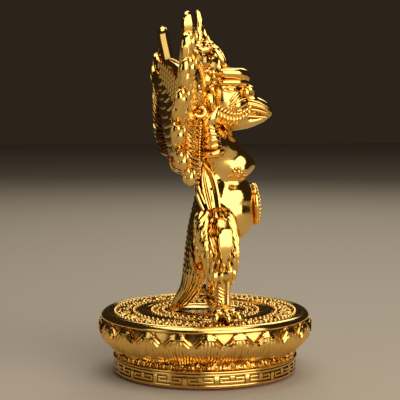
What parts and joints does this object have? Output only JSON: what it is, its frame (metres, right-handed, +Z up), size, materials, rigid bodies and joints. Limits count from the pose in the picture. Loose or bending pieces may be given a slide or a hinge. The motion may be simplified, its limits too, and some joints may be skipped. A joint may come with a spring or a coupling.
{
  "type": "garuda figure",
  "caption": "Gold-plated cast garuda with a tall crown, hooked beak, raised wings and a round belt buckle, standing on a lotus plinth",
  "frame": {"origin": "centre of the plinth's underside, on the table", "axes": "+Z up from the plinth to the crown, -Y the way the figure faces, +X towards the figure's left"},
  "size_m": [0.1269, 0.1052, 0.179],
  "materials": {
    "figure_gold": "polished",
    "plinth_gold": "polished",
    "red_pad": "matte"
  },
  "bodies": {
    "root": {"garuda": "figure_gold", "lotus_plinth": "plinth_gold", "base_pad": "red_pad"}
  },
  "joints": []
}
